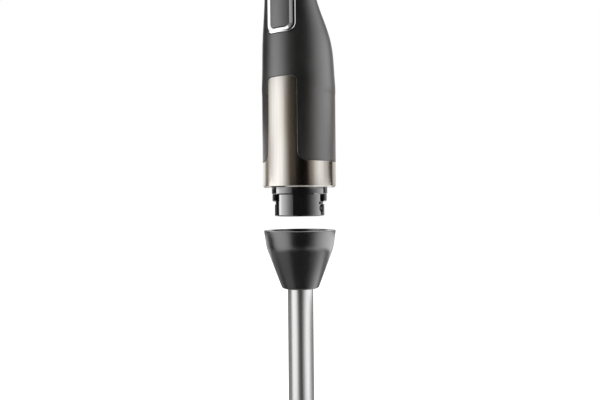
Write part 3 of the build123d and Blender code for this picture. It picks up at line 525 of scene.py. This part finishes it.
plain_card = card_look("plain_card", (1.0, 0.97, 0.94), 0.3)
warm_card = card_look("warm_card", (1.0, 0.83, 0.66), 1.3)
tiers = [  # from the top down: name, look, lower edge and stops
    ("cards_over_bezel", plain_card, 0.5, [
        (-160, 0.3), (-135, 0.1), (-104, 0.08), (-98, 0.8), (-88, 1.1), (-78, 1.2), (-66, 1.2), (-52, 1.2),
        (-40, 1.1), (-31, 0.9), (-24, 0.5), (-16, 0.1), (-8, 0.01), (20, 0.01), (34, 0.03), (46, 0.2),
        (60, 0.6), (74, 1.0), (90, 1.3), (112, 1.3), (122, 0.5), (132, 0.3), (160, 0.6)]),
    ("cards_above_grip", plain_card, 0.32, [
        (-160, 0.3), (-135, 0.1), (-104, 0.08), (-98, 0.8), (-88, 1.1), (-78, 1.2), (-66, 1.1), (-52, 0.7),
        (-40, 0.35), (-31, 0.12), (-22, 0.02), (-8, 0.01), (20, 0.01), (34, 0.03), (46, 0.2), (60, 0.6),
        (74, 1.0), (90, 1.3), (112, 1.3), (122, 0.5), (132, 0.3), (160, 0.6)]),
    ("cards_beside_grip", plain_card, 0.10, [
        (-180, 0.9), (-158, 0.8), (-142, 0.06), (-104, 0.02), (-98, 1.0), (-88, 1.5), (-78, 1.7), (-66, 1.65),
        (-52, 1.1), (-40, 0.6), (-31, 0.2), (-22, 0.03), (-8, 0.01), (18, 0.01), (31, 0.05), (42, 0.32),
        (56, 0.95), (70, 1.5), (90, 2.0), (112, 2.0), (122, 0.7), (132, 0.4), (160, 0.8)]),
    ("cards_beside_tongue", warm_card, -0.04, [
        (-180, 0.6), (-160, 0.5), (-146, 0.03), (-110, 0.02), (-104, 1.1), (-97, 1.5), (-84, 1.95),
        (-68, 2.25), (-53, 1.75), (-43, 0.78), (-33, 0.27), (-26, 0.13), (-20, 0.1), (-10, 0.05), (5, 0.01),
        (20, 0.01), (30, 0.05), (40, 0.35), (55, 1.0), (70, 1.55), (90, 2.0), (112, 2.0), (120, 0.6),
        (130, 0.4), (160, 0.8)]),
    ("cards_beside_band", warm_card, -0.166, [
        (-160, 1.4), (-136, 1.4), (-126, 0.5), (-114, 0.4), (-108, 0.8), (-104, 1.0), (-90, 1.6), (-77, 2.1),
        (-65, 2.3), (-54, 2.0), (-44, 1.15), (-34, 0.42), (-28, 0.17), (-23, 0.14), (-14, 0.12), (-8, 0.03),
        (5, 0.006), (16, 0.006), (25, 0.03), (31, 0.26), (41, 0.62), (50, 1.25), (61, 1.8), (71, 1.75),
        (83, 1.2), (96, 0.75), (102, 0.5), (105, 0.08), (121, 0.1), (132, 1.0), (160, 1.0)]),
    ("cards_beside_spigot", plain_card, -0.33, [
        (-160, 0.3), (-140, 0.2), (-130, 0.03), (-110, 0.03), (-109, 4.6), (-97, 5.0), (-92, 3.8), (-80, 3.0),
        (-70, 2.5), (-62, 2.0), (-55, 1.45), (-47, 1.05), (-40, 0.72), (-31, 0.4), (-30, 0.02), (-10, 0.015),
        (20, 0.015), (33, 0.04), (40, 0.12), (50, 0.3), (60, 0.6), (70, 1.0), (82, 1.6), (95, 2.1),
        (112, 2.5), (114, 0.1), (126, 0.1), (134, 0.5), (160, 0.5)]),
    ("cards_beside_rim", plain_card, -0.42, [
        (-160, 0.4), (-110, 0.25), (-96, 0.3), (-88, 1.2), (-75, 1.7), (-60, 1.75), (-45, 1.6), (-35, 1.0),
        (-26, 0.3), (-20, 0.08), (15, 0.06), (24, 0.15), (35, 0.5), (50, 1.0), (65, 1.7), (80, 2.3),
        (100, 2.7), (120, 2.6), (128, 0.5), (160, 0.5)]),
    ("cards_beside_tube", plain_card, -0.80, [
        (-160, 0.4), (-130, 0.38), (-98, 0.4), (-90, 0.8), (-82, 1.4), (-72, 1.75), (-60, 1.85), (-45, 1.75),
        (-33, 1.25), (-24, 0.7), (-16, 0.3), (-8, 0.13), (6, 0.13), (13, 0.25), (22, 0.6), (30, 1.0),
        (41, 1.5), (55, 1.85), (70, 1.8), (84, 1.3), (96, 0.8), (108, 0.5), (125, 0.4), (160, 0.4)]),
    ("cards_under_cone", plain_card, -2.6, [
        (-160, 0.35), (-120, 0.1), (-108, 0.08), (-98, 0.35), (-80, 0.4), (-60, 0.42), (-48, 0.3),
        (-40, 0.08), (-30, 0.04), (10, 0.03), (38, 0.04), (50, 0.15), (62, 0.3), (75, 0.65), (88, 1.15),
        (105, 1.7), (124, 1.8), (136, 1.1), (160, 0.4)]),
]
tier_top = studio_top
for name, look, tier_foot, stops in tiers:
    tier(name, look, tier_foot, tier_top, stops)
    tier_top = tier_foot
tier("flags_by_collar", plain_card, flag_low, flag_high, [
    (-180, 1.2), (-140, 1.2), (-120, 0.9), (-110, 0.1), (-92, 0.05), (-84, 1.1), (-72, 1.7), (-58, 1.8),
    (-45, 1.7), (-36, 1.4), (-29, 0.7), (-22, 0.12), (-13, 0.01), (22, 0.01), (31, 0.15), (40, 0.55),
    (49, 1.2), (62, 1.9), (77, 2.4), (95, 2.6), (118, 2.4), (140, 1.2), (180, 1.2)], flag_radius)

# World and pale floor: white where they show, and a plain level of light where they don't
world_level = 0.9
white = 1.0


def combined(tree, operation, first, second):
    """Result of an operation on two values."""
    result = tree.nodes.new("ShaderNodeMath")
    result.operation = operation
    tree.links.new(first, result.inputs[0])
    tree.links.new(second, result.inputs[1])
    return result.outputs["Value"]


def shown(tree, plain):
    """Strength that is white where the background shows and plain where it only lights."""
    path = tree.nodes.new("ShaderNodeLightPath")
    seen = combined(tree, "MAXIMUM", path.outputs["Is Camera Ray"], path.outputs["Is Glossy Ray"])
    seen = combined(tree, "MAXIMUM", seen, path.outputs["Is Transmission Ray"])
    return mapped(tree, seen, plain, white)


world = bpy.data.worlds.new("world")
scene.world = world
world.use_nodes = True
sky = world.node_tree
back = sky.nodes["Background"]
back.inputs["Color"].default_value = (1, 1, 1, 1)
sky.links.new(shown(sky, world_level), back.inputs["Strength"])

floor_gap = 0.0005  # under the object
floor_reach = 6.0
floor_colour = (0.8, 0.8, 0.8, 1)
floor_roughness = 0.9
painted_shade_reach = (0.03, 0.15)  # distances from the axis over which the painted shade round the object's foot fades to white
painted_shade_glow = 0.08
lift_far = 0.6
floor_look, floor_tree, floor_shader = material("floor", Base_Color=floor_colour, Roughness=floor_roughness,
                                                Emission_Color=(1, 1, 1, 1))
floor_place = floor_tree.nodes.new("ShaderNodeTexCoord")
from_axis = floor_tree.nodes.new("ShaderNodeVectorMath")
from_axis.operation = "LENGTH"
floor_tree.links.new(floor_place.outputs["Object"], from_axis.inputs[0])
# The floor glows less near the axis: painted shade round the object's foot, laid over its real shadow
glow_with_painted_shade = mapped(floor_tree, from_axis.outputs["Value"], painted_shade_glow, lift_far, painted_shade_reach)
shown_glow_with_painted_shade = combined(floor_tree, "MULTIPLY", glow_with_painted_shade, shown(floor_tree, 0.0))
floor_tree.links.new(shown_glow_with_painted_shade, floor_shader.inputs["Emission Strength"])

# The floor is clear from below, so that the object can be seen from there
floor_side = floor_tree.nodes.new("ShaderNodeNewGeometry")
see_through = floor_tree.nodes.new("ShaderNodeBsdfTransparent")
one_sided = floor_tree.nodes.new("ShaderNodeMixShader")
floor_end = floor_tree.nodes["Material Output"]
floor_tree.links.new(floor_side.outputs["Backfacing"], one_sided.inputs["Fac"])
floor_tree.links.new(floor_shader.outputs["BSDF"], one_sided.inputs[1])
floor_tree.links.new(see_through.outputs["BSDF"], one_sided.inputs[2])
floor_tree.links.new(one_sided.outputs["Shader"], floor_end.inputs["Surface"])

floor_mesh = bpy.data.meshes.new("floor")
corners = [(-1, -1), (1, -1), (1, 1), (-1, 1)]
floor_mesh.from_pydata([(x * floor_reach, y * floor_reach, 0) for x, y in corners], [], [(0, 1, 2, 3)])
floor_mesh.materials.append(floor_look)
floor = bpy.data.objects.new("floor", floor_mesh)
floor.location.z = cad_box[0][2] - floor_gap
scene.collection.objects.link(floor)
floor.visible_glossy = False
